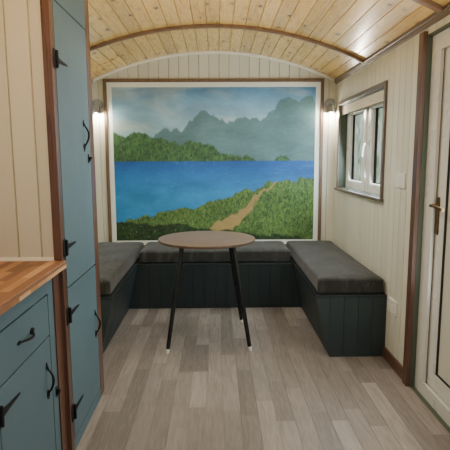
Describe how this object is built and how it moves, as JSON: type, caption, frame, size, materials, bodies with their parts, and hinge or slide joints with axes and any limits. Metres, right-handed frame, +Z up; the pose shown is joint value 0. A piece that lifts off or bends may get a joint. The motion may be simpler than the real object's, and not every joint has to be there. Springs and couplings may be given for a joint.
{
  "type": "shepherds hut end section with fitted benches, table and cupboards",
  "caption": "Open-fronted end section of a boarded hut with a barrel roof on hoops, corner benches with cushions, a round table, a tall cupboard, a worktop unit and an entrance door.",
  "frame": {"origin": "middle of the box round the part, on the underside of the floor deck", "axes": "+Z up, +Y along the hut towards the end wall, +X across the hut towards the entrance door's wall"},
  "size_m": [2.62, 3.503, 2.4178],
  "materials": {
    "cream_boards": "satin cream paint on boards",
    "deck_timber": "sawn timber",
    "floor_boards": "worn oak boards, satin",
    "pine_ceiling": "varnished pine",
    "roof_sheet": "painted sheet",
    "brown_wood": "brown satin stain",
    "teal_paint": "satin teal paint",
    "bench_paint": "satin dark teal paint",
    "white_frame": "white plastic",
    "brass": "dull brass",
    "glass": "clear",
    "blind_cloth": "cream cloth in its case",
    "mural_paint": "painted board",
    "lamp_metal": "silver",
    "cushion_cloth": "charcoal brushed cloth",
    "table_wood": "light oak, matt",
    "black_metal": "black powder coat",
    "black_iron": "black, rough",
    "worktop_wood": "oiled wood blocks"
  },
  "bodies": {
    "hut": {"floor_deck": "deck_timber", "floor_boards": "floor_boards", "end_wall": "cream_boards", "left_wall": "cream_boards", "right_wall": "cream_boards", "right_wall_over_door": "cream_boards", "right_wall_front": "cream_boards", "roof_lining": "pine_ceiling", "roof_cover": "roof_sheet", "roof_hoops": "brown_wood", "cornices": "brown_wood", "arch_bead": "cream_boards", "skirtings": "brown_wood", "door_posts": "brown_wood", "door_lining": "teal_paint", "door_frame": "white_frame", "window_trims": "brown_wood", "window_sills": "brown_wood", "window_frames": "white_frame", "window_glass": "glass", "window_blinds": "blind_cloth", "mural_board": "mural_paint", "mural_frame": "brown_wood", "wall_lamps": "lamp_metal", "wall_plates": "white_frame", "bench_fronts": "bench_paint", "bench_ends": "bench_paint", "bench_tops": "bench_paint", "cushion_left": "cushion_cloth", "cushion_back": "cushion_cloth", "cushion_right": "cushion_cloth", "table_top": "table_wood", "table_legs": "black_metal", "table_feet": "white_frame", "cupboard_sides": "cream_boards", "cupboard_strips": "brown_wood", "cupboard_rails": "teal_paint", "worktop": "worktop_wood", "unit_case": "teal_paint", "unit_front": "teal_paint", "hinge_plates": "black_iron"},
    "entrance_door": {"door_leaf": "white_frame", "door_panel": "white_frame", "door_handle": "brass"},
    "upper_door": {"cupboard_upper_door": "teal_paint", "cupboard_upper_iron": "black_iron"},
    "lower_door": {"cupboard_lower_door": "teal_paint", "cupboard_lower_iron": "black_iron"},
    "drawer": {"drawer": "teal_paint", "drawer_pull": "black_iron"},
    "unit_door": {"unit_door": "teal_paint", "unit_door_iron": "black_iron"}
  },
  "joints": [
    {"name": "entrance_door_hinge", "type": "hinge", "parent": "hut", "child": "entrance_door", "pos_m": [1.209, -1.1525, 1.02], "axis": [0, 0, -1], "range_deg": [0, 100]},
    {"name": "upper_door_hinge", "type": "hinge", "parent": "hut", "child": "upper_door", "pos_m": [-0.609, -0.8895, 1.41], "axis": [0, 0, -1], "range_deg": [0, 90]},
    {"name": "lower_door_hinge", "type": "hinge", "parent": "hut", "child": "lower_door", "pos_m": [-0.609, -0.8895, 0.52], "axis": [0, 0, -1], "range_deg": [0, 90]},
    {"name": "drawer_slide", "type": "slide", "parent": "hut", "child": "drawer", "axis": [1, 0, 0], "range_m": [0, 0.28]},
    {"name": "unit_door_hinge", "type": "hinge", "parent": "hut", "child": "unit_door", "pos_m": [-0.633, -1.5075, 0.45], "axis": [0, 0, -1], "range_deg": [0, 90]}
  ]
}
